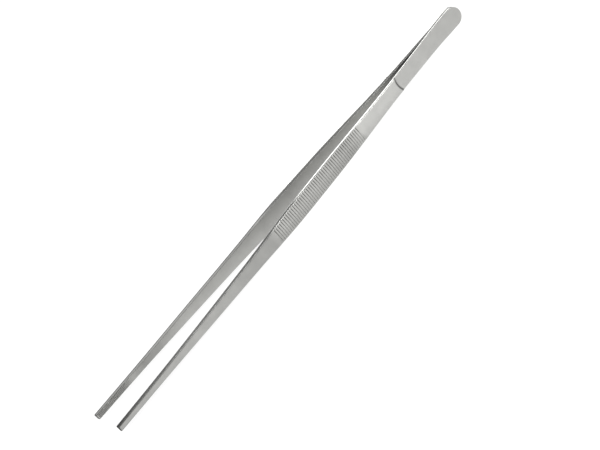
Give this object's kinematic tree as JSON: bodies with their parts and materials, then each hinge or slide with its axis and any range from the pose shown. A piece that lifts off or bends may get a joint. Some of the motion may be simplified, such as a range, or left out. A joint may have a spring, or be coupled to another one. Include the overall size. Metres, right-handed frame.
{
  "type": "aquascaping tweezers",
  "caption": "Long straight stainless steel tweezers with a cross-ridged finger grip and fine-toothed square tips, for planting and trimming in an aquarium.",
  "frame": {"origin": "under the middle of the length, half-way between the two leaves, at the level of the widest edges that the tweezers lie on", "axes": "+X along the length from the tips to the head, +Y across the gap from the front leaf to the rear leaf, +Z across the width of the leaves, up from the surface that they lie on"},
  "size_m": [0.3, 0.03, 0.0112],
  "materials": {
    "satin_steel": "satin, finely brushed stainless steel",
    "weld_steel": "fused stainless steel, hidden between the heels"
  },
  "bodies": {
    "head": {"spot_welds": "weld_steel", "front_heel": "satin_steel", "rear_heel": "satin_steel", "front_spring": "satin_steel", "rear_spring": "satin_steel"},
    "front_leaf": {"front_grip": "satin_steel", "front_arm": "satin_steel", "front_jaw": "satin_steel"},
    "rear_leaf": {"rear_grip": "satin_steel", "rear_arm": "satin_steel", "rear_jaw": "satin_steel"}
  },
  "joints": [
    {"name": "front_leaf_flex", "type": "hinge", "parent": "head", "child": "front_leaf", "pos_m": [0.112, -0.00183, 0.0056], "axis": [0, 0, -1], "range_deg": [0, 2.63], "stiffness_Nm_per_rad": 10, "deforming": ["front_spring"]},
    {"name": "rear_leaf_flex", "type": "hinge", "parent": "head", "child": "rear_leaf", "pos_m": [0.112, 0.00183, 0.0056], "axis": [0, 0, 1], "range_deg": [0, 2.63], "stiffness_Nm_per_rad": 10, "deforming": ["rear_spring"]}
  ]
}
